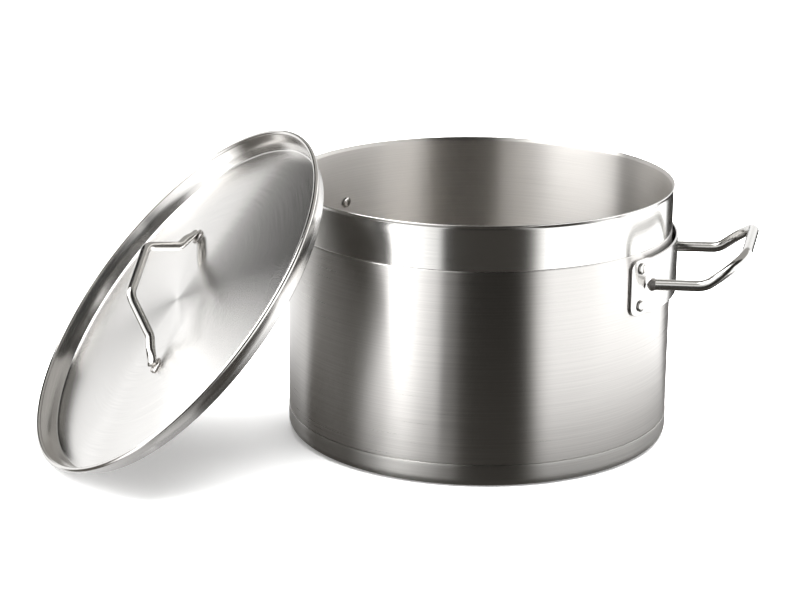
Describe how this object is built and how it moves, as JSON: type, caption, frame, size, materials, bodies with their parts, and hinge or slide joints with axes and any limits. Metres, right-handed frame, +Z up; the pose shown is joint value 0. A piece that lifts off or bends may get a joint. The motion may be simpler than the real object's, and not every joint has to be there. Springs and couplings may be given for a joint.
{
  "type": "stock pot",
  "caption": "Round straight-sided stock pot with a clad bottom, riveted tube handles and a recessed domed lid with a bent rod handle, put down leaning beside it.",
  "frame": {"origin": "centre of the pot's flat foot, on the floor", "axes": "+Z up the pot's axis, +X towards the right handle; the lid leans on the floor at -X, -Y"},
  "size_m": [0.6635, 0.4882, 0.286],
  "materials": {
    "pot_shell": "horizontally brushed wall with a mirror-polished band under the lip",
    "base_cap": "finely turned, lines running round",
    "base_core": "plain disc, out of sight",
    "bracket_plate": "satin",
    "handle_tube": "polished",
    "rivet": "polished",
    "lid_sheet": "satin panel, polished wall and rolled edge",
    "lid_rod": "polished"
  },
  "bodies": {
    "pot": {"pot_body": "pot_shell", "base_core": "base_core", "base_cap": "base_cap", "bracket_right": "bracket_plate", "handle_right": "handle_tube", "rivet_right_1": "rivet", "rivet_right_2": "rivet", "rivet_right_3": "rivet", "rivet_right_4": "rivet", "bracket_left": "bracket_plate", "handle_left": "handle_tube", "rivet_left_1": "rivet", "rivet_left_2": "rivet", "rivet_left_3": "rivet", "rivet_left_4": "rivet"},
    "lid": {"lid_panel": "lid_sheet", "lid_handle": "lid_rod"}
  },
  "joints": [
    {"name": "lid_lift", "type": "slide", "parent": "pot", "child": "lid", "axis": [-0.6127, -0.4338, 0.6607], "range_m": [0, 0.3]}
  ]
}
